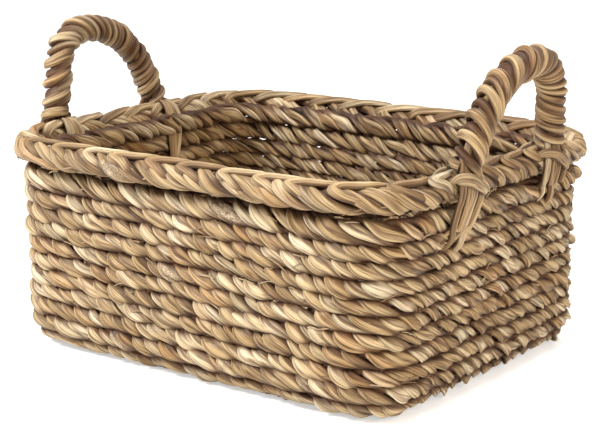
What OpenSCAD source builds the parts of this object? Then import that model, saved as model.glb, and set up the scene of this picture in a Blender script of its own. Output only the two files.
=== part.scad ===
// Seagrass storage basket: twined walls and base on upright stakes, a rolled rim,
// and two cord handles bound with flat seagrass. Millimetres, +Z up, long side along X.
// The origin is the middle of the underside.

/* [Body] */
// Length over the twined end walls
body_l = 360; // [320:5:400]
// Width over the twined long walls
body_w = 287; // [260:1:320]
// Outside radius of the upright corners
corner_r = 43; // [38:1:55]
// Radius of the turn from base to wall, at the stakes
base_bend_r = 18; // [16:1:20]

/* [Weave] */
// Height of one twined row
row_pitch = 12.4; // [12:0.1:13]
// Thickness of one weft strand
strand_t = 3.4; // [3:0.1:3.6]
// Space between neighbouring rows
row_gap = 0.6; // [0.4:0.1:1]
// Height of the broad row under the rim
upper_row_h = 17; // [15:0.5:17]
// Thickness of the outer strand of the broad row
upper_strand_t = 5; // [3.4:0.1:5]

/* [Stakes] */
// Diameter of a stake
stake_d = 4.6; // [4:0.1:4.6]
// Distance between stakes along the walls
stake_pitch = 32.25; // [31:0.25:33]
// Height of the stakes' upper ends
stake_top = 144; // [143.5:0.5:145]

/* [Rim] */
// Diameter of the rolled rim
rim_d = 21; // [19:0.5:21]
// Height of the rim's middle above the underside
rim_z = 156; // [156:0.5:158]
// How far the rim's middle stands outside the stakes, at the ends
rim_out_x = 6; // [5:0.5:8]
// How far the rim's middle stands outside the stakes, at the long sides
rim_out_y = 11.4; // [8:0.1:12]
// Radius of the rim's corners, at its middle
rim_corner_r = 58; // [50:1:60]
// Diameter of the lacing strand inside the rim
lacing_d = 8; // [6:0.5:8]
// Diameter of the row between the lacing and the walls
border_d = 10.4; // [9:0.1:10.8]

/* [Handles] */
// Diameter of a bound handle
handle_d = 23; // [21:0.5:24]
// Diameter of one core cord
cord_d = 6.6; // [6:0.1:6.6]
// Height of the arch's middle line above its foot
handle_rise = 64.5; // [60:0.5:80]
// Radius of the arch's tight side
arch_tight_r = 34; // [30:1:36]
// Radius of the arch's wide side
arch_wide_r = 64; // [50:1:64]
// Outward lean of the left handle, degrees
left_lean = 8; // [0:1:12]
// Outward lean of the right handle, degrees
right_lean = 8; // [0:1:12]
// Middle of the left handle along the end wall
left_handle_y = -17; // [-20:1:20]
// Middle of the right handle along the end wall
right_handle_y = -6; // [-20:1:20]

/* [Hidden] */
// The walls and the base are measured from the middle surface that the stakes lie in.
strand_gap = 0.2;
strand_off = stake_d / 2 + strand_gap + strand_t / 2;
wall_half_t = strand_off + strand_t / 2;
wall_x = body_l / 2 - wall_half_t;
wall_y = body_w / 2 - wall_half_t;
wall_r = corner_r - wall_half_t;
base_z = wall_half_t;
bend_top = base_z + base_bend_r;
edge_x = wall_x - base_bend_r;
edge_y = wall_y - base_bend_r;

// Rows 1 and 2 lie on the bend; the others stand one above another.
row_count = 10;
bend_rows = 2;
band_h = row_pitch - row_gap;
// On the bend the inner strand is narrower and lies a little further in, the outer one is broader.
bend_extra = 0.6;
inner_bend_h = 8.4;
outer_bend_h = 13.2;
bend_turn = row_pitch / base_bend_r * 180 / PI;
top_row_z = bend_top - base_bend_r * cos(bend_rows * bend_turn)
    + (row_count - bend_rows) * row_pitch;
upper_row_z = top_row_z + row_pitch / 2 + upper_row_h / 2;

// The base has rows along X between its edge row's sides.
edge_band_h = band_h;
base_half_l = edge_x - edge_band_h / 2 - 0.3;
base_half_w = edge_y - edge_band_h / 2 - 0.3;
base_rows = 18;
base_pitch = 2 * base_half_w / base_rows;
base_inner_r = wall_r - base_bend_r - edge_band_h / 2;

// Stakes on each side of the middle one, and how far their tails reach in under the base.
cross_stakes_each_side = 4;
end_stakes_each_side = 3;
end_tail = 22;
corner_tail = 15;
end_tail_x = edge_x - end_tail;

rim_x = wall_x + rim_out_x;
rim_y = wall_y + rim_out_y;
rim_r = rim_d / 2;
lacing_dist = rim_r + lacing_d / 2 + strand_gap;
lacing_angle = 20;
lacing_in = lacing_dist * cos(lacing_angle);
lacing_up = lacing_dist * sin(lacing_angle);
border_in = 15.5;
border_drop = 5.6;

// A handle turns about an axis through both feet, just above the rim.
foot_out = 8;
foot_gap = 5.5;
foot_x = rim_x + foot_out;
foot_z = rim_z + rim_r + foot_gap;
apex_v = 15;
apex_flat = 4;
tight_turn = 76;
wide_turn = 68;
binding_bore_r = 7.6;
binding_sides = 16;
cord_sides = 10;
arc_steps = 12;
foot_r = 8.5;
foot_cone_h = 6;
core_ring_r = 3.9;
tight_foot_v = foot_v(arch_tight_r, tight_turn, 1);
wide_foot_v = foot_v(arch_wide_r, wide_turn, -1);

// The cord ends pass over the rim and run down the outer face of the wall.
tail_bend_r = rim_r + cord_d / 2 + 0.8;
tail_flare_r = 20;
tail_x = wall_x + stake_d / 2 + strand_gap + upper_strand_t + cord_d / 2 + 0.8;
tail_centres = tail_bend_r + tail_flare_r;
tail_turn = acos((tail_x - rim_x + tail_flare_r) / tail_centres);
tail_start = 26;
tail_end_z = 112;
tail_spread = cord_d / 2 + 0.2;
inner_cord_x = wall_x - wall_half_t - cord_d / 2 - 0.3;
inner_cord_top = 140;
inner_cord_end = 108;

straw = "#c9a878";
straw_light = "#d8bd92";
straw_dark = "#a98656";

$fn = 48;

// Where a leg's middle line meets the foot's level, along the wall.
function foot_v(r, turn, side) =
    apex_v + side * (apex_flat / 2 + r * sin(turn) + (handle_rise - r + r * cos(turn)) / tan(turn));

// Length of a leg's straight part below its arc.
function leg_l(r, turn) = (handle_rise - r + r * cos(turn)) / sin(turn);

// Points [v, w, heading, radius] round one arc of the arch, t in degrees from the apex.
function arch_arc_point(bend_r, side, t, r) = [
    apex_v + side * (apex_flat / 2 + bend_r * sin(t)),
    handle_rise - bend_r + bend_r * cos(t),
    -side * t,
    r
];

// A point on a leg's straight part, d below the end of its arc.
function arch_leg_point(bend_r, side, turn, d, r) =
    let (p = arch_arc_point(bend_r, side, turn, r))
    [p[0] + side * d * cos(turn), p[1] - d * sin(turn), p[2], r];

// The arch's middle line from the wide foot over the apex to the tight foot.
function arch_path(r, end_r) = concat(
    [
        for (d = [0, foot_cone_h])
            arch_leg_point(arch_wide_r, -1, wide_turn,
                leg_l(arch_wide_r, wide_turn) - d, d == 0 ? end_r : r)
    ],
    [for (i = [arc_steps:-1:0]) arch_arc_point(arch_wide_r, -1, wide_turn * i / arc_steps, r)],
    [for (i = [0:arc_steps]) arch_arc_point(arch_tight_r, 1, tight_turn * i / arc_steps, r)],
    [
        for (d = [foot_cone_h, 0])
            arch_leg_point(arch_tight_r, 1, tight_turn,
                leg_l(arch_tight_r, tight_turn) - d, d == 0 ? end_r : r)
    ]
);

// A cord end's middle line: round the rim, then flaring in to hang straight.
function cord_end_path(r) =
    let (flare_z = rim_z - tail_centres * sin(tail_turn))
    concat(
        [
            for (i = [0:arc_steps - 1])
                let (t = tail_start - (tail_start + tail_turn) * i / arc_steps)
                [rim_x + tail_bend_r * cos(t), rim_z + tail_bend_r * sin(t), t - 90, r]
        ],
        [
            for (i = [0:2:arc_steps])
                let (t = 180 - tail_turn + tail_turn * i / arc_steps)
                [
                    tail_x + tail_flare_r + tail_flare_r * cos(t),
                    flare_z + tail_flare_r * sin(t),
                    t - 270,
                    r
                ]
        ],
        [[tail_x, tail_end_z, -90, r]]
    );

// A ring of points across a path point, moved up and out of the path.
function round_ring(p, r, sides, up, out) = [
    for (j = [0:sides - 1])
        let (t = 360 * j / sides, left = up + r * cos(t))
        [p[0] - left * sin(p[2]), p[1] + left * cos(p[2]), out + r * sin(t)]
];

// Faces between two rings whose first points are numbered a and b.
function ring_join(a, b, sides) = [
    for (j = [0:sides - 1])
        let (k = (j + 1) % sides)
        each [[a + j, b + j, b + k], [a + j, b + k, a + k]]
];

// Angle that a row makes with the base, 0 on the base and 90 on the wall.
function row_angle(i) = i > bend_rows ? 90 : i * row_pitch / base_bend_r * 180 / PI;

// Outward place of a row's middle from the wall's middle surface, and its height.
function row_u(i) = i > bend_rows ? 0 : -base_bend_r * (1 - sin(row_angle(i)));
function row_z(i) = i > bend_rows
    ? top_row_z - (row_count - i) * row_pitch
    : bend_top - base_bend_r * cos(row_angle(i));

// Half length of a base row whose outer edge is at y, inside the round corners.
function base_row_half(y) =
    let (over = abs(y) - (base_half_w - base_inner_r))
    over <= 0
        ? base_half_l
        : base_half_l - base_inner_r + sqrt(max(0, base_inner_r * base_inner_r - over * over));

// A band's section: h along the weave, t through it, with bevelled edges.
module band_section(h, t) {
    bevel = t * 0.3;
    polygon([
        [t / 2, -h / 2 + bevel], [t / 2, h / 2 - bevel],
        [t / 2 - bevel, h / 2], [-t / 2 + bevel, h / 2],
        [-t / 2, h / 2 - bevel], [-t / 2, -h / 2 + bevel],
        [-t / 2 + bevel, -h / 2], [t / 2 - bevel, -h / 2]
    ]);
}

// Sweeps a section round a rounded rectangle. The section's x is measured from a
// corner's centre and its y is the height.
module around(half_x, half_y, r) {
    straight_x = half_x - r;
    straight_y = half_y - r;
    for (side = [-1, 1]) {
        turn = side > 0 ? 0 : 180;
        rotate([0, 0, turn])
            translate([straight_x, straight_y, 0])
                rotate([90, 0, 0])
                    linear_extrude(height = 2 * straight_y)
                        children();
        rotate([0, 0, turn + 90])
            translate([straight_y, straight_x, 0])
                rotate([90, 0, 0])
                    linear_extrude(height = 2 * straight_x)
                        children();
    }
    for (corner = [[1, 1, 0], [-1, 1, 90], [-1, -1, 180], [1, -1, 270]])
        translate([corner[0] * straight_x, corner[1] * straight_y, 0])
            rotate([0, 0, corner[2]])
                rotate_extrude(angle = 90)
                    children();
}

// One strand of a row: off is its distance outside the middle surface.
module strand(u, z, angle, off, h, t) {
    around(wall_x, wall_y, wall_r)
        translate([wall_r + u + off * sin(angle), z - off * cos(angle)])
            rotate([0, 0, angle - 90])
                band_section(h, t);
}

module weft_row(i) {
    on_bend = i <= bend_rows;
    color(i % 2 == 0 ? straw : straw_light) {
        strand(row_u(i), row_z(i), row_angle(i), strand_off, on_bend ? outer_bend_h : band_h, strand_t);
        strand(row_u(i), row_z(i), row_angle(i), -strand_off - (on_bend ? bend_extra : 0),
            on_bend ? inner_bend_h : band_h, strand_t);
    }
}

module upper_row() {
    outer_off = stake_d / 2 + strand_gap + upper_strand_t / 2;
    color(straw) {
        strand(0, upper_row_z, 90, outer_off, upper_row_h, upper_strand_t);
        strand(0, upper_row_z, 90, -strand_off, upper_row_h, strand_t);
    }
}

module base_edge_row() {
    color(straw_light) {
        strand(-base_bend_r, base_z, 0, strand_off, edge_band_h, strand_t);
        strand(-base_bend_r, base_z, 0, -strand_off, inner_bend_h, strand_t);
    }
}

module base_layer(z) {
    width = base_pitch - row_gap;
    for (k = [0:base_rows - 1]) {
        y = (k + 0.5) * base_pitch - base_half_w;
        half_l = base_row_half(abs(y) + width / 2);
        translate([-half_l, y, z])
            rotate([90, 0, 90])
                linear_extrude(height = 2 * half_l)
                    rotate([0, 0, 90])
                        band_section(width, strand_t);
    }
}

module base_rows_under() {
    color(straw_dark) base_layer(base_z - strand_off);
}

module base_rows_over() {
    color(straw) base_layer(base_z + strand_off);
}

// A stake in the XZ plane: up the wall at x = half, round the bend and in to tail_x.
module bent_stake(half, tail_x) {
    translate([half, 0, bend_top])
        cylinder(d = stake_d, h = stake_top - bend_top);
    translate([half - base_bend_r, 0, bend_top])
        rotate([90, 0, 0])
            rotate([0, 0, 270])
                rotate_extrude(angle = 90)
                    translate([base_bend_r, 0])
                        circle(d = stake_d);
    translate([tail_x, 0, base_z])
        rotate([0, 90, 0])
            cylinder(d = stake_d, h = half - base_bend_r - tail_x);
}

module cross_stakes() {
    color(straw_dark)
        for (k = [-cross_stakes_each_side:cross_stakes_each_side])
            translate([k * stake_pitch, 0, 0])
                rotate([0, 0, 90]) {
                    bent_stake(wall_y, 0);
                    rotate([0, 0, 180]) bent_stake(wall_y, 0);
                }
}

module end_stakes() {
    color(straw_dark)
        for (turn = [0, 180], k = [-end_stakes_each_side:end_stakes_each_side])
            rotate([0, 0, turn])
                translate([0, k * stake_pitch, 0])
                    bent_stake(wall_x, end_tail_x);
}

module corner_stakes() {
    color(straw_dark)
        for (corner = [[1, 1, 45], [-1, 1, 135], [-1, -1, 225], [1, -1, 315]])
            translate([corner[0] * (wall_x - wall_r), corner[1] * (wall_y - wall_r), 0])
                rotate([0, 0, corner[2]])
                    bent_stake(wall_r, wall_r - base_bend_r - corner_tail);
}

module border_row() {
    color(straw)
        around(rim_x - border_in, rim_y - border_in, rim_corner_r - border_in)
            translate([rim_corner_r - border_in, rim_z - border_drop])
                circle(d = border_d);
}

module rim_roll() {
    color(straw_light)
        around(rim_x, rim_y, rim_corner_r)
            translate([rim_corner_r, rim_z])
                circle(d = rim_d);
}

module rim_lacing() {
    color(straw)
        around(rim_x - lacing_in, rim_y - lacing_in, rim_corner_r - lacing_in)
            translate([rim_corner_r - lacing_in, rim_z + lacing_up])
                circle(d = lacing_d);
}

// Sweeps a round rod along a path in the XY plane. Each path point is [x, y, heading,
// radius]; up moves the rod to the left of the path and out moves it along Z.
module rod(path, sides, up, out) {
    count = len(path);
    points = [for (p = path) each round_ring(p, p[3], sides, up, out)];
    skin = [for (i = [0:count - 2]) each ring_join(i * sides, (i + 1) * sides, sides)];
    first_cap = [for (j = [0:sides - 1]) j];
    last_cap = [for (j = [0:sides - 1]) count * sides - 1 - j];
    polyhedron(points = points, faces = concat(skin, [first_cap, last_cap]), convexity = 6);
}

// The same as a tube with a bore.
module tube(path, sides, bore_r) {
    count = len(path);
    inner = count * sides;
    last = (count - 1) * sides;
    points = concat(
        [for (p = path) each round_ring(p, p[3], sides, 0, 0)],
        [for (p = path) each round_ring(p, bore_r, sides, 0, 0)]
    );
    skin = [for (i = [0:count - 2]) each ring_join(i * sides, (i + 1) * sides, sides)];
    bore = [for (i = [0:count - 2])
        each ring_join(inner + (i + 1) * sides, inner + i * sides, sides)];
    ends = concat(ring_join(inner, 0, sides), ring_join(last, inner + last, sides));
    polyhedron(points = points, faces = concat(skin, bore, ends), convexity = 6);
}

module handle_cords() {
    color(straw_dark)
        rotate([90, 0, 90])
            for (k = [0:2])
                rod(arch_path(cord_d / 2, cord_d / 2), cord_sides,
                    core_ring_r * cos(k * 120), core_ring_r * sin(k * 120));
}

module handle_binding() {
    color(straw_light)
        rotate([90, 0, 90])
            tube(arch_path(handle_d / 2, foot_r), binding_sides, binding_bore_r);
}

// Puts a handle built at the origin on the right end wall, or on the left one.
module at_handle(is_left) {
    lean = is_left ? left_lean : right_lean;
    along = is_left ? -left_handle_y : right_handle_y;
    rotate([0, 0, is_left ? 180 : 0])
        translate([foot_x, along, foot_z])
            rotate([0, lean, 0])
                children();
}

// One cord end: over the rim, in towards the wall and down its face.
module cord_end(y) {
    translate([0, y, 0])
        rotate([90, 0, 0])
            rod(cord_end_path(cord_d / 2), cord_sides, 0, 0);
}

// The two cord ends under one leg. The left handle is the right one turned round.
module leg_cord_ends(is_left, leg_v) {
    along = is_left ? -left_handle_y : right_handle_y;
    color(straw_dark)
        rotate([0, 0, is_left ? 180 : 0])
            for (side = [-1, 1])
                cord_end(along + leg_v + side * tail_spread);
}

// The cord ends that show inside the wall, one under each leg.
module inner_cord_ends(is_left) {
    along = is_left ? -left_handle_y : right_handle_y;
    color(straw_dark)
        rotate([0, 0, is_left ? 180 : 0])
            for (leg_v = [tight_foot_v, wide_foot_v])
                translate([inner_cord_x, along + leg_v, inner_cord_end])
                    cylinder(d = cord_d, h = inner_cord_top - inner_cord_end);
}

base_rows_under();
base_rows_over();
base_edge_row();
weft_row(1);  // weft_row_01
weft_row(2);  // weft_row_02
weft_row(3);  // weft_row_03
weft_row(4);  // weft_row_04
weft_row(5);  // weft_row_05
weft_row(6);  // weft_row_06
weft_row(7);  // weft_row_07
weft_row(8);  // weft_row_08
weft_row(9);  // weft_row_09
weft_row(10);  // weft_row_10
upper_row();
border_row();
rim_roll();
rim_lacing();
cross_stakes();
end_stakes();
corner_stakes();
at_handle(true) handle_cords();  // left_handle_cords
at_handle(true) handle_binding();  // left_handle_binding
leg_cord_ends(true, tight_foot_v);  // left_front_cord_ends
leg_cord_ends(true, wide_foot_v);  // left_back_cord_ends
inner_cord_ends(true);  // left_inner_cord_ends
at_handle(false) handle_cords();  // right_handle_cords
at_handle(false) handle_binding();  // right_handle_binding
leg_cord_ends(false, wide_foot_v);  // right_front_cord_ends
leg_cord_ends(false, tight_foot_v);  // right_back_cord_ends
inner_cord_ends(false);  // right_inner_cord_ends
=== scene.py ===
"""The seagrass storage basket's looks: twined rows, stakes, rolled rim and bound handles."""

import math

import bpy
import numpy as np
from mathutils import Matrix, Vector


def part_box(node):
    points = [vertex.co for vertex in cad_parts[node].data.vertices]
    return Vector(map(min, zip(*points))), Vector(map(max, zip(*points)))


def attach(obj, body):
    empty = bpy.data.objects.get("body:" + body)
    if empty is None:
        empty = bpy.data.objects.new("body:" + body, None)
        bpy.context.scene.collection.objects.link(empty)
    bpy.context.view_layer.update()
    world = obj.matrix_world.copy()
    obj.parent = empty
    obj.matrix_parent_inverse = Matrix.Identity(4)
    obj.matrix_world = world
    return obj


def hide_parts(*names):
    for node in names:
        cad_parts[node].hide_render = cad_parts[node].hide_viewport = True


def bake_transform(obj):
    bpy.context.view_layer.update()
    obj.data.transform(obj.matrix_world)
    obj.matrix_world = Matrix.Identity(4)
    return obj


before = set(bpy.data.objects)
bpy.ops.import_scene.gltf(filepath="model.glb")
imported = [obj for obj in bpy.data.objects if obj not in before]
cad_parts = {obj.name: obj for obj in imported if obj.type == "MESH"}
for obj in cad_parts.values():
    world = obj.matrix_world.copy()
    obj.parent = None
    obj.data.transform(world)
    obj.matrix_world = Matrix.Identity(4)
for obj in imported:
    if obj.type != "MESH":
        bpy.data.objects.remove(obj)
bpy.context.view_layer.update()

# ---------------------------------------------------------------- sizes, in millimetres
MM = 0.001
WALL_T = 11.8  # both strands of a row and the stake between them
CORNER_R = 43.0  # outside radius of the upright corners
BEND_R = 18.0  # turn from base to wall, at the stakes
ROW_COUNT = 10
BEND_ROWS = 2  # how many of the rows lie on that turn
ROW_PITCH = 12.4
BASE_ROWS = 18
LOWEST = 0.3  # the strands are pressed flat where the basket stands

ROW_STRANDS = 4  # strands twisted round each other in a twined row
LOZENGE = 13.4  # from one strand's showing to the next, along a row
THIN = 0.74  # width of a row's thinner strands, against the others
DRIFT = 0.45  # how far a row strays up and down
SHINGLE = 0.34  # radians that a showing is tipped, to lap over the row below

STAKE_PITCH = 32.25
STAKE_TOP = 144.0
END_TAIL = 22.0  # how far an end stake runs in under the base
CORNER_TAIL = 15.0
STEMS = ((-2.7, 0.4), (-0.9, -0.5), (1.0, 0.5), (2.8, -0.4))  # a stake's stems: place across and out
STEM_W = 2.2
STEM_D = 1.8

RIM_CORNER_R = 58.0
RIM_STRANDS = 5
RIM_TURNS = 15  # turns round the rim that each strand makes
LACING_LOOPS = 38
BORDER_IN = 15.5  # from the rim's middle in to the border row
FIBRE_COUNT = 260

FOOT_Z = 172.0  # where a handle leaves the rim
FOOT_OUT = 8.0  # how far a handle's feet stand outside the rim's middle
HANDLE_RISE = 64.5
APEX_V = 15.0  # middle of the arch's flat top, along the wall
APEX_FLAT = 4.0
TIGHT_R = 34.0  # the arch's shoulder on its tight side
TIGHT_TURN = 76.0
WIDE_R = 64.0
WIDE_TURN = 68.0
LEAN = 8.0  # degrees outwards
BINDING_R = 11.5
BINDING_PITCH = 15.6
BINDING_BELOW = 2.3  # how far the winding runs on past the feet
CORE_COUNT = 3
CORE_RING = 3.9  # from a handle's middle line to each of its core cords
CORD_D = 6.6
LEG_CORD_W = 5.4
STRAP_W = 8.4
LEG_CORD_D = 5.2

# Each cord below a leg: its place in the bundle, how far it crosses over, its end's height and how
# far out it lies.
LEG_CORDS = ((-10.2, 3.0, 113, 0.0), (-3.8, -4.0, 121, 2.4), (3.2, 5.0, 108, 0.6), (9.8, -1.0, 117, 2.8))

SIDES = ("left", "right")
END = {"left": -1.0, "right": 1.0}  # the end wall that a handle stands on, along X
ALONG = {"left": 17.0, "right": -6.0}  # middle of each handle, along its own end wall
WIND = {"left": 1.0, "right": -1.0}  # hand of the winding, and the way that its turns lean
VIEW_PSI = {"left": -1.57, "right": 1.57}  # side of the winding where its turns lean most
HANDLE_TONE = {"left": (0.36, 0.62), "right": (0.20, 0.44)}  # darkest tone of the winding, and its range; the right handle's is lower, painted shade for its side away from the key light

CORNERS = ((1, 1), (-1, 1), (-1, -1), (1, -1))
ARC_STEPS = 48
STRAND_STEP = 1.6  # from one section of a strand to the next
GIRTH = 0.022  # width given to a strand's grain pattern round its section, in metres
FULL_TURN = 6.28  # radians, for a row's random start
SEED = {"weft": 100, "upper": 130, "rim": 140, "lacing": 150, "border": 160, "fibres": 170, "binding": 200,
        "core": 220, "leg_cords": 240, "inner_cords": 260, "stakes": 300, "base": 400, "base_edge": 420}

UP = np.array([0.0, 0.0, 1.0])


def node_box(name):
    """A CAD node's lowest and highest corners, in millimetres."""
    low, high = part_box(name)
    return np.array(low) / MM, np.array(high) / MM


WALL_HALF = node_box("weft_row_05")[1][:2] - WALL_T / 2
RIM_LOW, RIM_HIGH = node_box("rim_roll")
RIM_R = (RIM_HIGH[2] - RIM_LOW[2]) / 2
RIM_Z = (RIM_HIGH[2] + RIM_LOW[2]) / 2
RIM_HALF = RIM_HIGH[:2] - RIM_R


# ---------------------------------------------------------------- lines
class Loop:
    """A rounded rectangle, anticlockwise from above, from the middle of the right end."""

    def __init__(self, half_x, half_y, radius):
        points = [(half_x, 0.0)]
        normals = [(1.0, 0.0)]
        for k, (sx, sy) in enumerate(CORNERS):
            middle = np.array([sx * (half_x - radius), sy * (half_y - radius)])
            for a in np.radians(90 * k + np.linspace(0, 90, ARC_STEPS)):
                normal = np.array([math.cos(a), math.sin(a)])
                points.append(middle + radius * normal)
                normals.append(normal)
        points.append(points[0])
        normals.append(normals[0])
        self.points = np.array(points)
        self.normals = np.array(normals)
        gaps = np.linalg.norm(np.diff(self.points, axis=0), axis=1)
        self.marks = np.concatenate([[0], np.cumsum(gaps)])
        self.length = self.marks[-1]

    def at(self, s):
        """Points and outward directions, as rows of three, at distances s along the loop."""
        s = np.mod(s, self.length)

        def look_up(values):
            columns = [np.interp(s, self.marks, values[:, k]) for k in (0, 1)]
            return np.stack([*columns, np.zeros(len(s))], 1)

        return look_up(self.points), unit(look_up(self.normals))


class Straight:
    """A straight row along X at y, from its left end to its right."""

    def __init__(self, y, half_length):
        self.y = y
        self.half = half_length
        self.length = 2 * half_length

    def at(self, s):
        point = np.stack([s - self.half, np.full(len(s), self.y), np.zeros(len(s))], 1)
        return point, np.tile([0.0, -1.0, 0.0], (len(s), 1))


def unit(v):
    """Vectors scaled to a length of one."""
    return v / np.maximum(np.linalg.norm(v, axis=-1, keepdims=True), 1e-9)


def wander(rng, s, step, closed_length=None):
    """Smooth random values near -1 to 1 along s, one free value every step."""
    span = closed_length or (s.max() - s.min() + 1e-6)
    count = max(4, int(round(span / step)))
    knots = rng.uniform(-1, 1, count)
    place = (s - s.min() * (closed_length is None)) / span * count
    if closed_length is None:
        place = place * (count - 1) / count
    low = np.floor(place).astype(int)
    t = place - low

    def pick(k):
        index = low + k
        return knots[np.mod(index, count) if closed_length else np.clip(index, 0, count - 1)]

    a, b, c, d = pick(-1), pick(0), pick(1), pick(2)
    return b + 0.5 * t * (c - a + t * (2 * a - 5 * b + 4 * c - d + t * (3 * (b - c) + d - a)))


# ---------------------------------------------------------------- meshes
class Pile:
    """Swept strands that become one mesh."""

    def __init__(self):
        self.verts = []
        self.quads = []
        self.uvs = []
        self.tints = []
        self.count = 0

    def add(self, verts, quads, uvs, tints):
        self.verts.append(verts)
        self.quads.append(quads + self.count)
        self.uvs.append(uvs)
        self.tints.append(tints)
        self.count += len(verts)

    def build(self, name, material):
        """The mesh, in metres, with its grain layer and the tint of each point: its tone, its hue and its
        painted light and shade.
        """
        verts = np.concatenate(self.verts) * MM
        quads = np.concatenate(self.quads)
        verts[:, 2] = np.maximum(verts[:, 2], LOWEST * MM)
        mesh = bpy.data.meshes.new(name)
        mesh.vertices.add(len(verts))
        mesh.vertices.foreach_set("co", verts.astype(np.float32).ravel())
        mesh.loops.add(quads.size)
        mesh.loops.foreach_set("vertex_index", quads.astype(np.int32).ravel())
        mesh.polygons.add(len(quads))
        mesh.polygons.foreach_set("loop_start", np.arange(0, quads.size, 4, dtype=np.int32))
        mesh.polygons.foreach_set("use_smooth", np.ones(len(quads), bool))
        layer = mesh.uv_layers.new(name="grain")
        mesh.update(calc_edges=True)
        layer.data.foreach_set("uv", np.concatenate(self.uvs).astype(np.float32).ravel())
        tint = mesh.attributes.new("tint", "FLOAT_COLOR", "POINT")
        tint.data.foreach_set("color", np.concatenate(self.tints).astype(np.float32).ravel())
        mesh.materials.append(material)
        mesh.validate()
        piece = bpy.data.objects.new(name, mesh)
        bpy.context.scene.collection.objects.link(piece)
        return piece


def sweep(pile, centre, across, through, width, depth, tone, hue, closed=False, sides=12,
          lobes=3, crease=0.16, roll=0.0, shade_paint=None):
    """One strand: an oval section with creases between its blades, swept along centre.
    across and through are the section's long and short directions, width and depth its sizes.
    tone and hue colour the strand. The light function given last paints light and shade on each point: 0 for
    painted shade deep in the weave and 1 outside. The creases between the blades are painted darker too."""
    n = len(centre)
    theta = np.linspace(0, 2 * math.pi, sides, endpoint=False)
    roll = np.broadcast_to(roll, n)[:, None]
    valley = (1 - np.abs(np.cos(lobes / 2 * theta[None, :] + roll))) ** 2
    scale = 1 - crease * valley
    x = np.cos(theta)[None, :] * np.broadcast_to(width, n)[:, None] / 2 * scale
    y = np.sin(theta)[None, :] * np.broadcast_to(depth, n)[:, None] / 2 * scale
    verts = centre[:, None, :] + x[..., None] * across[:, None, :] + y[..., None] * through[:, None, :]
    rows = n if closed else n - 1
    i, j = np.meshgrid(np.arange(rows), np.arange(sides), indexing="ij")
    i2, j2 = (i + 1) % n, (j + 1) % sides
    quads = np.stack([i * sides + j, i2 * sides + j, i2 * sides + j2, i * sides + j2], -1).reshape(-1, 4)
    gaps = np.linalg.norm(np.diff(centre, axis=0, append=centre[:1]), axis=1)
    along = np.concatenate([[0], np.cumsum(gaps)]) * MM
    u0 = along[i]
    u1 = along[i + 1]
    v0 = j / sides * GIRTH
    v1 = (j + 1) / sides * GIRTH
    uvs = np.stack([np.stack([u0, v0], -1), np.stack([u1, v0], -1), np.stack([u1, v1], -1),
                    np.stack([u0, v1], -1)], -2).reshape(-1, 2)
    tints = np.ones((n, sides, 4))
    tints[..., 0] = np.broadcast_to(tone, n)[:, None]
    tints[..., 1] = np.broadcast_to(hue, n)[:, None]
    # painted shade: darker in the creases between the blades and where the light function gives less light
    tints[..., 2] = (1 - 0.6 * valley) * (shade_paint(verts) if shade_paint else 1.0)
    verts = verts.reshape(-1, 3)
    tints = tints.reshape(-1, 4)
    if not closed:
        quads, uvs = close_ends(quads, uvs, n, sides)
    pile.add(verts, quads, uvs, tints)


def close_ends(quads, uvs, n, sides):
    """Adds flat caps to both ends of a strand with n sections."""
    caps = []
    for base, order in ((0, -1), ((n - 1) * sides, 1)):
        idx = (np.arange(sides) * order) % sides + base
        for k in range(1, sides - 2, 2):
            caps.append([idx[0], idx[k], idx[k + 1], idx[k + 2]])
    return np.concatenate([quads, caps]), np.concatenate([uvs, np.zeros((len(caps) * 4, 2))])


def smooth(x, low, high):
    """0 up to low, 1 from high on, and a smooth rise between."""
    t = np.clip((x - low) / (high - low), 0, 1)
    return t * t * (3 - 2 * t)


def per_turn(rng, turn_index):
    """A random value from 0 to 1 for each showing, at every place along a strand."""
    values = rng.random(int(turn_index.max()) + 2)
    return values[turn_index.astype(int)]


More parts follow.
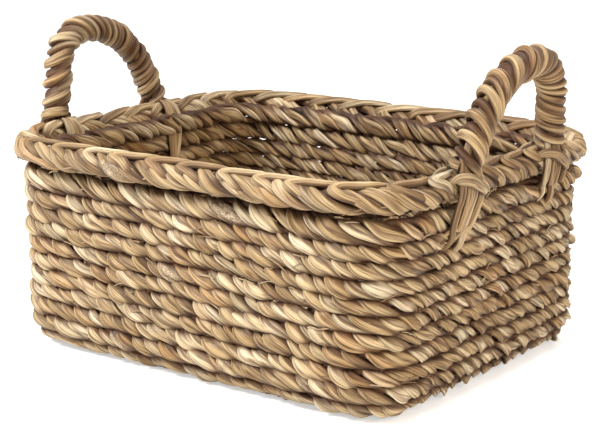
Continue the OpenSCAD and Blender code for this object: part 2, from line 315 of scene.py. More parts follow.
def twined_row(pile, rng, line, mid_z, angle=90.0, pitch=LOZENGE, width=11.8, depth=5.6, out=3.3,
               rise=4.7, closed=True, phase=0.0, step=STRAND_STEP):
    """Strands twisted round each other along a line, one showing every pitch. angle is the wall's
    slope there, out and rise are how far a strand swings across the wall and up it. Each showing
    has a plump head, lies slanting, and narrows where it dives. Every second strand is thinner and
    lies deeper."""
    span = line.length
    turns = max(1, int(round(span / pitch / ROW_STRANDS)))
    n = int(span / step)
    s = np.arange(n) * span / (n if closed else n - 1)
    point, outward = line.at(s)
    a = math.radians(angle)
    u_dir = outward * math.sin(a) - UP * math.cos(a)
    v_dir = outward * math.cos(a) + UP * math.sin(a)
    ring = span if closed else None
    base = point + UP * mid_z
    sway = wander(rng, s, 70, ring) * DRIFT + wander(rng, s, 26, ring) * DRIFT * 0.5
    base = base + v_dir * sway[:, None]
    stretch = wander(rng, s, 40, ring) * 0.5
    reach = out + depth / 2

    # painted shade: points deep in the row, near the stakes' plane, get less painted light than the
    # outermost ones
    def lit(verts):
        height = np.abs(np.einsum("nkc,nc->nk", verts - base[:, None, :], u_dir))
        return smooth(height / reach, 0.28, 0.97)

    for strand in range(ROW_STRANDS):
        bulk = 1.0 if strand % 2 == 0 else THIN
        phi = phase + strand * 2 * math.pi / ROW_STRANDS + 2 * math.pi * turns * s / span + stretch
        phi = phi + 0.42 * wander(rng, s, 18, ring)
        showing = np.floor(phi / math.pi + 0.5)
        showing = np.mod(showing - showing[0], 2 * turns) if closed else showing - showing.min()
        t = np.mod(phi / math.pi + 0.5, 1)
        swell = np.sin(math.pi * t ** 0.72)
        rough = (0.50 + 0.52 * swell) * (1 + 0.22 * wander(rng, s, 15, ring))
        thick = (0.80 + 0.22 * swell) * (1 + 0.15 * wander(rng, s, 13, ring))
        plump = 1 + 0.20 * wander(rng, s, 20, ring)
        u = np.sign(np.cos(phi)) * swell ** 0.7 * out * plump * (0.4 + 0.6 * bulk)
        v = -np.arcsin(np.sin(phi) * 0.97) / 1.325 * rise + 1.2 * wander(rng, s, 21, ring)
        centre = base + u_dir * u[:, None] + v_dir * v[:, None]
        tilt = phi - 0.34 * np.sin(2 * phi) - SHINGLE + 0.4 * wander(rng, s, 15, ring)
        through = u_dir * np.cos(tilt)[:, None] - v_dir * np.sin(tilt)[:, None]
        across = u_dir * np.sin(tilt)[:, None] + v_dir * np.cos(tilt)[:, None]
        roll = 0.9 * wander(rng, s, 25, ring) + strand
        # the showing's own tone, with painted shade that darkens it from the head towards the tail, where it
        # dives under its neighbour
        tone = per_turn(rng, showing) + 0.30 * (0.4 - t)
        hue = per_turn(rng, showing)
        sweep(pile, centre, across, through, width * rough * bulk, depth * thick, tone, hue, closed,
              roll=roll, shade_paint=lit, sides=16, lobes=4, crease=0.2)


# ---------------------------------------------------------------- materials
BLACK = (0.0, 0.0, 0.0)
WHITE = (1.0, 1.0, 1.0)
STRAW = [(0.0, (0.35, 0.225, 0.10)), (0.22, (0.45, 0.31, 0.145)), (0.5, (0.57, 0.42, 0.22)),
         (0.75, (0.67, 0.52, 0.30)), (1.0, (0.80, 0.67, 0.46))]
TAN = [(0.0, (0.28, 0.17, 0.075)), (0.25, (0.38, 0.25, 0.115)), (0.5, (0.48, 0.335, 0.165)),
       (0.75, (0.58, 0.43, 0.235)), (1.0, (0.73, 0.59, 0.39))]
BROWN = [(0.0, (0.10, 0.055, 0.028)), (0.5, (0.24, 0.145, 0.07)), (1.0, (0.42, 0.29, 0.16))]
PITH = [(0.38, (0.13, 0.075, 0.04)), (0.60, (0.66, 0.53, 0.35))]
RUSSET = (0.50, 0.27, 0.10)
GREY_STRAW = (0.50, 0.45, 0.31)
# painted shade for the creases between the blades
CREASE_SHADE = (0.30, 0.17, 0.08)
DARK_RIB = (0.30, 0.19, 0.10)
# pale streaks of the grain, lifted near white as painted highlight on the ribs
PALE_RIB_AND_HIGHLIGHT = (0.93, 0.86, 0.70)
SPECK = (0.28, 0.19, 0.12)
# painted shade: the colour that the hollows of the weave are multiplied towards
PAINTED_SHADE_COLOUR = (0.17, 0.085, 0.038)
GRAIN_ROUGHNESS = 0.40
BUMP_STRENGTH = 0.35
BUMP_HEIGHT = 0.0006  # metres


def seagrass(name, palette):
    """Dried seagrass: blades of mixed tones with fine ribs along them, and painted shade that darkens the
    hollows of the weave.
    """
    mat = bpy.data.materials.new(name)
    mat.use_nodes = True
    tree = mat.node_tree
    tree.nodes.clear()
    new = tree.nodes.new
    link = tree.links.new

    def feed(value, where):
        """Links an output to an input, or sets the input to a number or a colour."""
        if hasattr(value, "links"):
            link(value, where)
        elif isinstance(value, tuple):
            where.default_value = (*value, 1)
        else:
            where.default_value = value

    def math_node(op, a, b=None):
        node = new("ShaderNodeMath")
        node.operation = op
        feed(a, node.inputs[0])
        if b is not None:
            feed(b, node.inputs[1])
        return node.outputs[0]

    def times(a, b):
        return math_node("MULTIPLY", a, b)

    def ramp(value, stops):
        node = new("ShaderNodeValToRGB")
        elements = node.color_ramp.elements
        for k in (0, -1):
            elements[k].position = stops[k][0]
            elements[k].color = (*stops[k][1], 1)
        for place, colour in stops[1:-1]:
            elements.new(place).color = (*colour, 1)
        link(value, node.inputs[0])
        return node.outputs[0]

    def mix(factor, a, b, blend="MIX"):
        node = new("ShaderNodeMix")
        node.data_type = "RGBA"
        node.blend_type = blend
        feed(factor, node.inputs[0])
        feed(a, node.inputs[6])
        feed(b, node.inputs[7])
        return node.outputs[2]

    def noise(scale, detail, vector, distortion=0.0):
        node = new("ShaderNodeTexNoise")
        node.inputs["Scale"].default_value = scale
        node.inputs["Detail"].default_value = detail
        node.inputs["Distortion"].default_value = distortion
        link(vector, node.inputs["Vector"])
        return node.outputs["Fac"]

    uv = new("ShaderNodeUVMap")
    uv.uv_map = "grain"

    def grain(along, across, detail, distortion=0.0):
        """Noise with so many cycles in a metre along the strand and across it."""
        node = new("ShaderNodeVectorMath")
        node.operation = "MULTIPLY"
        link(uv.outputs[0], node.inputs[0])
        node.inputs[1].default_value = (along, across, 1.0)
        return noise(1.0, detail, node.outputs[0], distortion)

    attribute = new("ShaderNodeAttribute")
    attribute.attribute_name = "tint"
    split = new("ShaderNodeSeparateColor")
    link(attribute.outputs["Color"], split.inputs[0])
    tone, hue, painted_light = split.outputs[:3]
    ribs = grain(60.0, 1400.0, 3.0, 0.3)
    streaks = grain(35.0, 330.0, 2.0)
    edges = grain(14.0, 420.0, 1.0, 0.2)
    shreds = grain(420.0, 1500.0, 2.0, 1.5)
    place = new("ShaderNodeTexCoord").outputs["Object"]
    patches = noise(45.0, 3.0, place)
    specks = noise(900.0, 2.0, place)

    # each strand's tone, redder or greyer on some
    shade = math_node("ADD", tone, times(math_node("SUBTRACT", streaks, 0.5), 0.9))
    shade = math_node("ADD", shade, times(math_node("SUBTRACT", patches, 0.5), 0.25))
    colour = ramp(shade, palette)
    warm = ramp(hue, [(0.0, BLACK), (0.74, BLACK), (0.96, WHITE)])
    colour = mix(times(warm, times(streaks, 0.9)), colour, RUSSET)
    grey = ramp(hue, [(0.0, WHITE), (0.16, BLACK), (1.0, BLACK)])
    colour = mix(times(grey, 0.45), colour, GREY_STRAW)

    # painted shade in the creases between the blades, and ribs along them
    blades = math_node("ABSOLUTE", math_node("SUBTRACT", edges, 0.5))
    blade_crease = ramp(blades, [(0.0, WHITE), (0.018, (0.7, 0.7, 0.7)), (0.05, BLACK)])
    colour = mix(times(blade_crease, 0.8), colour, CREASE_SHADE, "MULTIPLY")
    dark_rib = times(ramp(ribs, [(0.30, WHITE), (0.48, BLACK)]), 0.62)
    colour = mix(dark_rib, colour, DARK_RIB, "MULTIPLY")
    # pale ribs: the grain's own pale streaks, lifted near white as painted highlight
    pale_rib_and_highlight = times(ramp(ribs, [(0.58, BLACK), (0.75, WHITE)]), 0.42)
    colour = mix(pale_rib_and_highlight, colour, PALE_RIB_AND_HIGHLIGHT)

    # frayed patches on a few strands, then specks, then painted shade in the hollows of the weave
    frayed = ramp(hue, [(0.0, BLACK), (0.484, BLACK), (0.486, WHITE), (0.508, WHITE), (0.510, BLACK),
                        (1.0, BLACK)])
    worn = ramp(patches, [(0.42, BLACK), (0.50, (0.8, 0.8, 0.8))])
    colour = mix(times(frayed, worn), colour, ramp(shreds, PITH))
    speck = times(ramp(specks, [(0.66, BLACK), (0.74, WHITE)]), 0.4)
    colour = mix(speck, colour, SPECK)
    painted_shade = ramp(painted_light, [(0.0, WHITE), (0.5, (0.74, 0.74, 0.74)), (1.0, BLACK)])
    colour = mix(painted_shade, colour, PAINTED_SHADE_COLOUR, "MULTIPLY")

    bsdf = new("ShaderNodeBsdfPrincipled")
    link(colour, bsdf.inputs["Base Color"])
    link(math_node("ADD", times(ribs, 0.3), GRAIN_ROUGHNESS), bsdf.inputs["Roughness"])
    bsdf.inputs["Specular IOR Level"].default_value = 0.35
    bsdf.inputs["Sheen Weight"].default_value = 0.08
    bump = new("ShaderNodeBump")
    bump.inputs["Strength"].default_value = BUMP_STRENGTH
    bump.inputs["Distance"].default_value = BUMP_HEIGHT
    relief = math_node("ADD", ribs, times(streaks, 0.8))
    link(math_node("SUBTRACT", relief, times(blade_crease, 0.8)), bump.inputs["Height"])
    link(bump.outputs[0], bsdf.inputs["Normal"])
    out = new("ShaderNodeOutputMaterial")
    link(bsdf.outputs[0], out.inputs[0])
    return mat


# ---------------------------------------------------------------- body of the basket
def bend_row(i):
    """Angle, inset and height of a row's middle on the turn from base to wall."""
    a = i * ROW_PITCH / BEND_R
    return math.degrees(a), -BEND_R * (1 - math.sin(a)), WALL_T / 2 + BEND_R * (1 - math.cos(a))


def finish_piece(pile, name, material, nodes, body="basket"):
    """Builds a pile as one piece that rides on body and stands for the CAD nodes."""
    piece = pile.build(name, material)
    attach(piece, body)
    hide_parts(*nodes)


def make_weft_rows(material):
    """The twined rows of the walls, the lowest of them on the turn from the base."""
    for i in range(1, ROW_COUNT + 1):
        rng = np.random.default_rng(SEED["weft"] + i)
        name = f"weft_row_{i:02d}"
        pile = Pile()
        if i <= BEND_ROWS:
            angle, inset, z = bend_row(i)
        else:
            low, high = node_box(name)
            angle, inset, z = 90.0, 0.0, (low[2] + high[2]) / 2
        line = Loop(*(WALL_HALF + inset), CORNER_R - WALL_T / 2 + inset)
        twined_row(pile, rng, line, z, angle, phase=rng.uniform(0, FULL_TURN))
        finish_piece(pile, f"twined_{name}", material, [name])


def make_upper_row(material):
    """The broad twined row under the border."""
    rng = np.random.default_rng(SEED["upper"])
    low, high = node_box("upper_row")
    pile = Pile()
    line = Loop(*(WALL_HALF + 0.8), CORNER_R - WALL_T / 2)
    twined_row(pile, rng, line, (low[2] + high[2]) / 2, pitch=16.0, width=13.8, depth=6.6, out=3.8, rise=6.5)
    finish_piece(pile, "twined_upper_row", material, ["upper_row"])


def make_rim(material):
    """The rolled rim: strands twisted round it, each showing plump on the outside and the inside."""
    rng = np.random.default_rng(SEED["rim"])
    pile = Pile()
    line = Loop(*RIM_HALF, RIM_CORNER_R)
    n = int(line.length / STRAND_STEP)
    s = np.arange(n) * line.length / n
    ring = line.length
    point, outward = line.at(s)
    core = point + UP * RIM_Z
    for k in range(RIM_STRANDS):
        psi = 2 * math.pi * (k / RIM_STRANDS - RIM_TURNS * s / ring) + 0.5 * wander(rng, s, 28, ring)
        t = np.mod(0.5 - psi / math.pi, 1)
        swell = np.sin(math.pi * t ** 0.72)
        r = RIM_R - 6.2 + 2.1 * swell + 1.3 * wander(rng, s, 16, ring)
        spoke = outward * np.cos(psi)[:, None] + UP * np.sin(psi)[:, None]
        face = psi + 0.32 + 0.3 * wander(rng, s, 15, ring)
        through = outward * np.cos(face)[:, None] + UP * np.sin(face)[:, None]
        across = -outward * np.sin(face)[:, None] + UP * np.cos(face)[:, None]
        width = 11.8 * (0.55 + 0.48 * swell) * (1 + 0.26 * wander(rng, s, 14, ring))
        depth = 8.4 * (0.8 + 0.2 * swell) * (1 + 0.15 * wander(rng, s, 15, ring))
        showing = np.floor(0.5 - psi / math.pi)
        showing = np.mod(showing - showing[0], 2 * RIM_TURNS)
        sweep(pile, core + spoke * r[:, None], across, through, width, depth, per_turn(rng, showing),
              per_turn(rng, showing), closed=True, sides=16, lobes=4, crease=0.2,
              roll=wander(rng, s, 30, ring), shade_paint=around(core, RIM_R, 0.50, 0.95))
    finish_piece(pile, "rolled_rim", material, ["rim_roll"])


def around(core, radius, low, high):
    """Painted light on a bundle, for sweep: painted shade near its core line, full light at its outside."""
    def lit(verts):
        far = np.linalg.norm(verts - core[:, None, :], axis=-1)
        return smooth(far / radius, low, high)
    return lit


def make_lacing(material):
    """Loops that rise over the rim's outside, hook back at its top edge and run inwards over the top."""
    rng = np.random.default_rng(SEED["lacing"])
    pile = Pile()
    line = Loop(*RIM_HALF, RIM_CORNER_R)
    gap = line.length / LACING_LOOPS
    # distance along the rim in gaps, angle round it from the outside in degrees, height on it
    course = np.array([[0.86, -22, -6.0], [0.55, 8, -1.6], [0.22, 38, 0.2], [-0.04, 62, 1.0],
                       [0.14, 84, 1.2], [0.62, 98, 1.4], [1.08, 122, 0.8], [1.42, 152, -1.6],
                       [1.62, 182, -6.0]])
    for k in range(LACING_LOOPS):
        jitter = rng.uniform(-1, 1, course.shape) * (0.06, 5.0, 0.4)
        path = bezier(course + jitter, 72)
        point, outward = line.at((k + 0.15 * rng.uniform(-1, 1) + path[:, 0]) * gap)
        angle = np.radians(path[:, 1])
        spoke = outward * np.cos(angle)[:, None] + UP * np.sin(angle)[:, None]
        core = point + UP * RIM_Z
        centre = core + spoke * (RIM_R - 1.6 + path[:, 2])[:, None]
        across = unit(np.cross(unit(np.gradient(centre, axis=0)), spoke))
        t = np.linspace(0, 1, len(path))
        taper = 0.5 + 0.5 * np.sin(math.pi * t) ** 0.5
        size = taper * rng.uniform(0.85, 1.15)
        sweep(pile, centre, across, spoke, 9.2 * size, 5.8 * taper, rng.random(), rng.random(), sides=14,
              roll=t * 3, shade_paint=around(core, RIM_R + 2, 0.6, 0.95))
    finish_piece(pile, "rim_lacing_strands", material, ["rim_lacing"])


def make_border_row(material):
    """The twined row inside the border, between the upper row and the lacing."""
    rng = np.random.default_rng(SEED["border"])
    pile = Pile()
    low, high = node_box("border_row")
    middle = high - (high[2] - low[2]) / 2
    line = Loop(*middle[:2], RIM_CORNER_R - BORDER_IN)
    twined_row(pile, rng, line, middle[2], pitch=15.0, width=12.4, depth=6.4, out=3.2, rise=6.2, phase=2.0)
    finish_piece(pile, "twined_border_row", material, ["border_row"])


def make_fibres(material):
    """Short broken fibres and cut strand ends that stand a little off the walls and the rim."""
    rng = np.random.default_rng(SEED["fibres"])
    pile = Pile()
    wall = Loop(*(WALL_HALF + WALL_T / 2 - 0.9), CORNER_R - 0.9)
    rim = Loop(*(RIM_HALF + RIM_R - 1.4), RIM_CORNER_R + RIM_R - 1.4)
    for k in range(FIBRE_COUNT):
        if k % 8:
            line = wall
            z = rng.uniform(22, 140)
        else:  # one in eight stands on the rim
            line = rim
            z = rng.uniform(147, 156)
        length = rng.uniform(7, 17)
        t = np.linspace(0, 1, 9)
        heading = rng.choice([-1, 1])
        s = rng.uniform(0, line.length) + heading * t * length
        point, outward = line.at(s)
        lift = 1.7 * rng.random() * t ** 2 + 0.2
        rise = rng.uniform(-0.5, 0.5) * length * t + 0.8 * np.sin(t * rng.uniform(1, 4))
        path = point + outward * lift[:, None] + UP * (z + rise)[:, None]
        size = rng.uniform(0.5, 1.5)
        strand_along(pile, rng, path, outward, size, size * 0.5, sides=6)
    piece = pile.build("broken_fibres", material)
    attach(piece, "basket")


# ---------------------------------------------------------------- handles
def arch_line(step, below=0.0):
    """Middle line of the arch as [v, w], and the distances along it, from the wide foot to the tight
    foot. below runs it on past the feet."""
    def arc(radius, side, t):
        t = np.radians(t)
        return np.stack([APEX_V + side * (APEX_FLAT / 2 + radius * np.sin(t)),
                         HANDLE_RISE - radius + radius * np.cos(t)], -1)
    wide = arc(WIDE_R, -1, np.linspace(WIDE_TURN, 0, 60))
    tight = arc(TIGHT_R, 1, np.linspace(0, TIGHT_TURN, 50))
    wide_run, tight_run = unit(wide[1] - wide[0]), unit(tight[-1] - tight[-2])
    wide_leg = wide[0] - wide_run * (wide[0][1] + below) / wide_run[1]
    tight_leg = tight[-1] - tight_run * (tight[-1][1] + below) / tight_run[1]
    line = np.concatenate([[wide_leg], wide, tight, [tight_leg]])
    marks = np.concatenate([[0], np.cumsum(np.linalg.norm(np.diff(line, axis=0), axis=1))])
    s = np.arange(0, marks[-1], step)
    return np.stack([np.interp(s, marks, line[:, 0]), np.interp(s, marks, line[:, 1])], -1), s


def to_basket(side, v, w, n):
    """Handle coordinates to the basket's: v along the end wall, w up and n out of the handle's plane."""
    lean = math.radians(LEAN)
    x = RIM_HALF[0] + FOOT_OUT + w * math.sin(lean) + n * math.cos(lean)
    y = ALONG[side] + v
    z = FOOT_Z + w * math.cos(lean) - n * math.sin(lean)
    return np.stack([END[side] * x, END[side] * y, z], -1)


def make_binding(side, material):
    """Two strands wound side by side over the core, each turn leaning along the arch."""
    rng = np.random.default_rng(SEED["binding"] + (side == "left"))
    pile = Pile()
    line, s = arch_line(0.5, BINDING_BELOW)
    total = s[-1]
    slope = unit(np.gradient(line, axis=0))
    darkest, span = HANDLE_TONE[side]
    for strand in (0, 1):
        psi = WIND[side] * 2 * math.pi * s / BINDING_PITCH + strand * math.pi + 0.5 * wander(rng, s, 26)
        near = smooth(s / total, 0.35, 0.75) if side == "left" else 1 - smooth(s / total, 0.35, 0.75)
        lean = (1.2 + 4.2 * near) * smooth(s, 3, 16) * smooth(total - s, 3, 16)
        view = psi - VIEW_PSI[side]
        place = np.clip(s + lean * WIND[side] * np.sin(view) + 0.9 * wander(rng, s, 9), 0, total)
        v, w = np.interp(place, s, line[:, 0]), np.interp(place, s, line[:, 1])
        heading = np.stack([np.interp(place, s, slope[:, k]) for k in (0, 1)], -1)
        up = unit(np.stack([-heading[:, 1], heading[:, 0]], -1))
        braid = (1 if strand else -1) * 1.2 * near * np.sin(view)
        r = BINDING_R - 3.4 + 0.7 * wander(rng, s, 8) + braid
        off = up * np.cos(psi)[:, None] * r[:, None]
        centre = to_basket(side, v + off[:, 0], w + off[:, 1], np.sin(psi) * r)
        axis = to_basket(side, v, w, np.zeros(len(s)))
        spoke = unit(centre - axis)
        edge = unit(np.cross(unit(np.gradient(centre, axis=0)), spoke))
        tip = (0.30 + 0.25 * wander(rng, s, 11))[:, None]
        through = spoke * np.cos(tip) + edge * np.sin(tip)
        across = edge * np.cos(tip) - spoke * np.sin(tip)
        turn = np.floor(np.abs(view - view[0]) / (2 * math.pi) + 0.5)
        front = 0.5 + 0.5 * np.cos(view)
        width = (7.6 + 2.2 * front * near) * (1 + 0.24 * wander(rng, s, 9))
        depth = 6.6 * (1 + 0.18 * wander(rng, s, 7))
        # the winding's tone; on the right handle it is painted darker, as shade
        tone = darkest + span * per_turn(rng, turn)
        sweep(pile, centre, across, through, width, depth, tone, per_turn(rng, turn), sides=16, lobes=4,
              crease=0.22, roll=2.0 * wander(rng, s, 12), shade_paint=around(axis, BINDING_R, 0.80, 1.06))
    finish_piece(pile, f"{side}_handle_wrap", material, [f"{side}_handle_binding"],
                 f"{side}_handle")


def make_core(side, material):
    """The cords inside the winding, darker than the rest."""
    rng = np.random.default_rng(SEED["core"] + (side == "left"))
    pile = Pile()
    line, s = arch_line(3.0)
    heading = unit(np.gradient(line, axis=0))
    up = np.stack([-heading[:, 1], heading[:, 0]], -1)
    for k in range(CORE_COUNT):
        a = 2 * math.pi * k / CORE_COUNT
        v = line[:, 0] + up[:, 0] * CORE_RING * math.cos(a)
        w = line[:, 1] + up[:, 1] * CORE_RING * math.cos(a)
        centre = to_basket(side, v, w, np.full(len(s), CORE_RING * math.sin(a)))
        inner = to_basket(side, line[:, 0], line[:, 1], np.zeros(len(s)))
        through = unit(centre - inner)
        across = unit(np.cross(unit(np.gradient(centre, axis=0)), through))
        sweep(pile, centre, across, through, CORD_D, CORD_D, 0.3 * rng.random(), rng.random(), sides=10)
    finish_piece(pile, f"{side}_core_cords", material, [f"{side}_handle_cords"], f"{side}_handle")


def foot_of(leg):
    """A handle foot's place along the wall: leg 0 is the wide side, 1 the tight side."""
    line = arch_line(0.5)[0]
    return line[-leg][0]


def bezier(points, count):
    """A smooth line through control points, as a Catmull-Rom curve."""
    points = np.array(points, float)
    ends = np.concatenate([[2 * points[0] - points[1]], points, [2 * points[-1] - points[-2]]])
    t = np.linspace(0, len(points) - 1 - 1e-6, count)
    k = t.astype(int)
    f = (t - k)[:, None]
    a, b, c, d = ends[k], ends[k + 1], ends[k + 2], ends[k + 3]
    return b + 0.5 * f * (c - a + f * (2 * a - 5 * b + 4 * c - d + f * (3 * (b - c) + d - a)))


def strand_along(pile, rng, path, face, width, depth, taper_end=True, sides=12):
    """A loose strand along a path, its flat side turned to face."""
    run = unit(np.gradient(path, axis=0))
    across = unit(np.cross(run, face))
    through = unit(np.cross(across, run))
    t = np.linspace(0, 1, len(path))
    taper = 1 - 0.75 * smooth(t, 0.86, 1.0) if taper_end else 1.0
    wobble = 1 + 0.14 * np.sin(t * rng.uniform(4, 9) + rng.uniform(0, 6))

    # painted shade: the strand's side turned away from face is painted darker
    def lit(verts):
        facing = np.einsum("nkc,nc->nk", verts - path[:, None, :], through) / depth
        return smooth(facing, -0.35, 0.3)

    sweep(pile, path, across, through, width * taper * wobble, depth * taper, rng.random(), rng.random(),
          sides=sides, crease=0.22, roll=t * rng.uniform(-3, 3), shade_paint=lit)


def to_end_wall(side, path):
    """A path drawn from a handle's middle at the right end, moved to its own end wall."""
    return (path + (0.0, ALONG[side], 0.0)) * (END[side], END[side], 1.0)


def leg_cord_path(leg, shift, cross, end, lift):
    """One cord's route below a leg, out of the winding, over the rim and down the wall."""
    rim_x = RIM_HALF[0]
    v0 = foot_of(leg)
    inward = 1 if leg == 0 else -1
    path = np.array([
        [rim_x + FOOT_OUT + 0.4, v0 + shift * 0.6 + inward, FOOT_Z + 6],
        [rim_x + 12.0 + 0.3 * lift, v0 + shift * 0.95, FOOT_Z - 5],
        [rim_x + 13.4 + 0.4 * lift, v0 + shift * 1.15, RIM_Z - 1],
        [rim_x + 10.0 + 0.6 * lift, v0 + shift * 1.15, RIM_Z - 13],
        [rim_x + 5.2 + lift, v0 + shift * 0.9 + cross * 0.3 - inward, RIM_Z - 26],
        [rim_x + 1.6 + lift, v0 + shift * 0.6 + cross * 0.8 - inward * 2, end + 8],
        [rim_x - 6.0, v0 + shift * 0.45 + cross - inward * 3, end]])
    if leg == 1:  # below the tight leg the cords lean outwards along the wall and are shorter
        path[2:, 1] += 0.15 * (path[2, 2] - path[2:, 2])
        path[4:, 2] += 12.0
    return path


def strap_path(leg):
    """The strap that crosses a leg's cords, from the rim's top down over them."""
    rim_x = RIM_HALF[0]
    v0 = foot_of(leg)
    return np.array([[rim_x + 3.0, v0 - 16.0, RIM_Z + 5.5],
                     [rim_x + 11.5, v0 - 14.0, RIM_Z + 9.0],
                     [rim_x + 17.8, v0 - 7.0, RIM_Z + 8.0],
                     [rim_x + 19.4, v0 + 1.0, RIM_Z + 3.5],
                     [rim_x + 18.0, v0 + 9.0, RIM_Z - 1.0],
                     [rim_x + 12.4, v0 + 14.5, RIM_Z - 4.0],
                     [rim_x + 4.0, v0 + 15.5, RIM_Z - 5.5]])


def make_cord_ends(side, material):
    """The cords below each leg and the strap across them. They tuck into the wall at their ends."""
    rng = np.random.default_rng(SEED["leg_cords"] + (side == "left"))
    for leg, label in ((0, "wide"), (1, "tight")):
        pile = Pile()
        strands = [(leg_cord_path(leg, *cord), LEG_CORD_W) for cord in LEG_CORDS]
        strands.append((strap_path(leg), STRAP_W))
        for path, width in strands:
            path = bezier(to_end_wall(side, path), 64)
            face = np.tile([END[side], 0.0, 0.0], (len(path), 1))
            strand_along(pile, rng, path, face, width, LEG_CORD_D, taper_end=False)
        piece = pile.build(f"{side}_{label}_leg_cords", material)
        y = END[side] * (ALONG[side] + foot_of(leg)) * MM
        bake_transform(piece)
        near = (leg == 0) == (side == "right")
        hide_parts(f"{side}_{'front' if near else 'back'}_cord_ends")


def make_inner_cords(side, material):
    """The cord ends that show inside the wall, from under the rim down."""
    rng = np.random.default_rng(SEED["inner_cords"] + (side == "left"))
    low, high = node_box(f"{side}_inner_cord_ends")
    x = abs(low[0] + high[0]) / 2
    pile = Pile()
    for leg in (0, 1):
        v0 = foot_of(leg)
        for shift in (-4.5, 1.5, 6.5):
            path = np.array([[RIM_HALF[0] - 4, v0 + shift * 0.5, RIM_Z + RIM_R + 2.0],
                             [RIM_HALF[0] - 11, v0 + shift * 0.8, RIM_Z + RIM_R - 1.5],
                             [RIM_HALF[0] - 15.6, v0 + shift, RIM_Z],
                             [x - 0.8, v0 + shift * 0.8, 138.0],
                             [x + 0.6, v0 + shift * 0.4, 122.0],
                             [x + 4.5, v0 + shift * 0.1, 109.0]])
            path = bezier(to_end_wall(side, path), 50)
            face = np.tile([-END[side], 0.0, 0.0], (len(path), 1))
            strand_along(pile, rng, path, face, 6.6, 5.0)
    finish_piece(pile, f"{side}_inner_leg_cords", material, [f"{side}_inner_cord_ends"])


# ---------------------------------------------------------------- stakes and base
def make_stakes(material):
    """Each stake is a bunch of thin stems, from its tail in the base round the bend and up the wall."""
    half_x, half_y = WALL_HALF
    groups = {"cross_stakes": [], "end_stakes": [], "corner_stakes": []}
    for k in range(-4, 5):
        for sign in (-1, 1):
            groups["cross_stakes"].append(((k * STAKE_PITCH, 0), (0, sign), half_y, 0.0))
    for k in range(-3, 4):
        for sign in (-1, 1):
            tail = half_x - BEND_R - END_TAIL
            groups["end_stakes"].append(((0, k * STAKE_PITCH), (sign, 0), half_x, tail))
    r = CORNER_R - WALL_T / 2
    for sx, sy in CORNERS:
        centre = (sx * (half_x - r), sy * (half_y - r))
        out = (sx * math.sqrt(0.5), sy * math.sqrt(0.5))
        groups["corner_stakes"].append((centre, out, r, r - BEND_R - CORNER_TAIL))
    for seed, (name, stakes) in enumerate(groups.items()):
        rng = np.random.default_rng(SEED["stakes"] + seed)
        pile = Pile()
        for centre, out, half, tail in stakes:
            add_stake(pile, rng, np.array([*centre, 0.0]), np.array([*out, 0.0]), half, tail)
        finish_piece(pile, f"stem_{name}", material, [name])


def add_stake(pile, rng, centre, out, half, tail):
    """One stake's stems. Measured from centre along out, its tail starts at tail, and the upright part
    stands at half."""
    side = np.cross(UP, out)
    z0 = WALL_T / 2
    turn = np.radians(np.linspace(0, 90, 14))
    flat = np.linspace(tail, half - BEND_R, max(3, int((half - BEND_R - tail) / 8)))[:-1]
    up = np.linspace(z0 + BEND_R, STAKE_TOP, 18)[1:]
    reach = np.concatenate([flat, half - BEND_R + BEND_R * np.sin(turn), np.full(len(up), half)])
    height = np.concatenate([np.full(len(flat), z0), z0 + BEND_R * (1 - np.cos(turn)), up])
    path = centre + reach[:, None] * out + height[:, None] * UP
    path = np.stack([np.interp(np.linspace(0, 1, 90), np.linspace(0, 1, len(path)), path[:, k])
                     for k in range(3)], 1)
    run = unit(np.gradient(path, axis=0))
    normal = unit(np.cross(side[None, :], run))
    s = np.linspace(0, len(path) * 2.5, len(path))
    for offset, lift in STEMS:
        sway = offset + 0.5 * wander(rng, s, 30)
        centre_line = path + side * sway[:, None] + normal * lift
        sweep(pile, centre_line, np.tile(side, (len(s), 1)), normal, STEM_W, STEM_D, rng.random(),
              rng.random(), sides=8, crease=0.0)


def make_base(material):
    """The base: twined rows from end to end, and the row round its edge."""
    low, high = node_box("base_rows_under")
    edge_high = node_box("base_edge_row")[1]
    gap = (high[1] - low[1]) / BASE_ROWS
    for half, name in enumerate(("under", "over")):
        rng = np.random.default_rng(SEED["base"] + half)
        pile = Pile()
        for k in range(BASE_ROWS // 2):
            row = 2 * k + half
            y = low[1] + (row + 0.5) * gap
            twined_row(pile, rng, Straight(y, row_half_length(y, high)), WALL_T / 2, angle=0.0,
                       closed=False, phase=rng.uniform(0, FULL_TURN), step=2.2)
        finish_piece(pile, f"base_twining_{name}", material, [f"base_rows_{name}"])
    rng = np.random.default_rng(SEED["base_edge"])
    pile = Pile()
    line = Loop(*(edge_high[:2] - ROW_PITCH / 2 + 0.3), CORNER_R - WALL_T / 2 - BEND_R)
    twined_row(pile, rng, line, WALL_T / 2, angle=0.0, phase=1.0)
    finish_piece(pile, "twined_base_edge", material, ["base_edge_row"])


def row_half_length(y, high):
    """Half the length of a base row inside the base's round corners. high is the base's far corner."""
    r = CORNER_R - WALL_T / 2 - BEND_R - ROW_PITCH / 2
    row_edge = abs(y) + 6
    over = max(0.0, row_edge - (high[1] - r))
    return high[0] - r + math.sqrt(max(0.0, r * r - over * over))


# ---------------------------------------------------------------- scene
FLOOR_GLOW = 0.5
WORLD_LIGHT = 0.43
CAMERA_ROUND = 37.25  # degrees from the front
CAMERA_ABOVE = 14.0  # degrees
CAMERA_AWAY = 1.2825  # metres from the point it turns round
CAMERA_CENTRE = (0, 0, 0.075)
FOCAL_LENGTH = 97.6  # for a sensor 36 mm wide
PICTURE_SHIFT = 0.04717


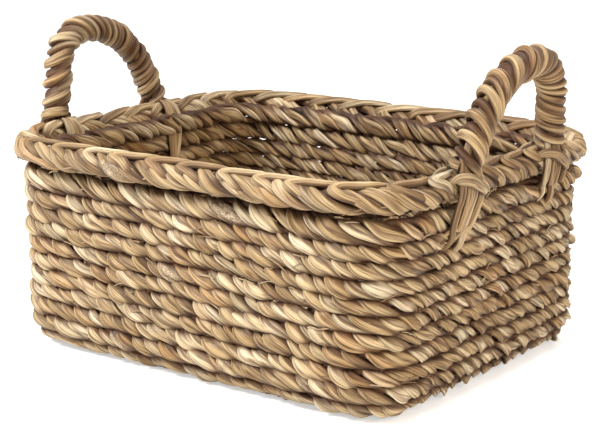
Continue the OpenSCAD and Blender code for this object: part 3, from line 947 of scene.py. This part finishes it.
def make_floor():
    """A pale floor that glows to the camera only, as in a light tent, and keeps a soft shadow."""
    bpy.ops.mesh.primitive_plane_add(size=8, location=(0, 0, -0.0005))
    floor = bpy.context.object
    floor.name = "floor"
    mat = bpy.data.materials.new("pale_floor")
    mat.use_nodes = True
    nodes, links = mat.node_tree.nodes, mat.node_tree.links
    bsdf = nodes["Principled BSDF"]
    bsdf.inputs["Base Color"].default_value = (0.9, 0.9, 0.9, 1)
    bsdf.inputs["Roughness"].default_value = 0.8
    bsdf.inputs["Emission Color"].default_value = (1, 1, 1, 1)
    seen = nodes.new("ShaderNodeLightPath")
    glow = nodes.new("ShaderNodeMath")
    glow.operation = "MULTIPLY"
    glow.inputs[1].default_value = FLOOR_GLOW
    links.new(seen.outputs["Is Camera Ray"], glow.inputs[0])
    links.new(glow.outputs[0], bsdf.inputs["Emission Strength"])
    floor.data.materials.append(mat)


def area_light(name, place, target, size, power, colour=WHITE):
    """A square lamp at place, turned to target."""
    data = bpy.data.lights.new(name, "AREA")
    data.shape = "SQUARE"
    data.size = size
    data.energy = power
    data.color = colour
    lamp = bpy.data.objects.new(name, data)
    lamp.location = place
    lamp.rotation_mode = "QUATERNION"
    lamp.rotation_quaternion = (Vector(target) - Vector(place)).to_track_quat("-Z", "Y")
    bpy.context.scene.collection.objects.link(lamp)


def make_lights():
    """A soft studio: white to the camera, dimmer round the basket, with a key light from the upper left."""
    world = bpy.data.worlds.new("studio")
    world.use_nodes = True
    nodes, links = world.node_tree.nodes, world.node_tree.links
    plain = nodes["Background"]
    plain.inputs[0].default_value = (1, 1, 1, 1)
    plain.inputs[1].default_value = WORLD_LIGHT
    white = nodes.new("ShaderNodeBackground")
    white.inputs[0].default_value = (1, 1, 1, 1)
    white.inputs[1].default_value = 1.0
    path = nodes.new("ShaderNodeLightPath")
    mix = nodes.new("ShaderNodeMixShader")
    links.new(path.outputs["Is Camera Ray"], mix.inputs[0])
    links.new(plain.outputs[0], mix.inputs[1])
    links.new(white.outputs[0], mix.inputs[2])
    links.new(mix.outputs[0], nodes["World Output"].inputs[0])
    bpy.context.scene.world = world
    area_light("key", (-1.0, -1.5, 1.7), (0, 0, 0.08), size=0.7, power=63)
    area_light("top", (0.3, 0.5, 2.0), (0, 0, 0.1), size=1.0, power=22)
    area_light("side", (1.7, -0.7, 0.8), (0, 0, 0.08), size=1.0, power=20, colour=(1.0, 0.86, 0.68))


def make_camera():
    azimuth = math.radians(CAMERA_ROUND)
    elevation = math.radians(CAMERA_ABOVE)
    data = bpy.data.cameras.new("camera")
    data.sensor_width = 36.0
    data.lens = FOCAL_LENGTH
    data.shift_y = PICTURE_SHIFT
    camera = bpy.data.objects.new("camera", data)
    back = Vector((math.sin(azimuth) * math.cos(elevation), -math.cos(azimuth) * math.cos(elevation),
                   math.sin(elevation)))
    camera.location = Vector(CAMERA_CENTRE) + back * CAMERA_AWAY
    camera.rotation_mode = "QUATERNION"
    camera.rotation_quaternion = (-back).to_track_quat("-Z", "Y")
    bpy.context.scene.collection.objects.link(camera)
    bpy.context.scene.camera = camera


bpy.context.scene.view_settings.view_transform = "Standard"
weft = seagrass("weft_seagrass", STRAW)
rim = seagrass("rim_seagrass", TAN)
binding = seagrass("binding_seagrass", TAN)
cords = seagrass("cord_seagrass", TAN)
stakes = seagrass("stake_stems", BROWN)
make_camera()
make_lights()
make_floor()
make_weft_rows(weft)
make_upper_row(weft)
make_rim(rim)
make_lacing(rim)
make_border_row(rim)
make_fibres(weft)
make_base(weft)
make_stakes(stakes)
for which in SIDES:
    make_binding(which, binding)
    make_core(which, cords)
    make_cord_ends(which, cords)
    make_inner_cords(which, cords)
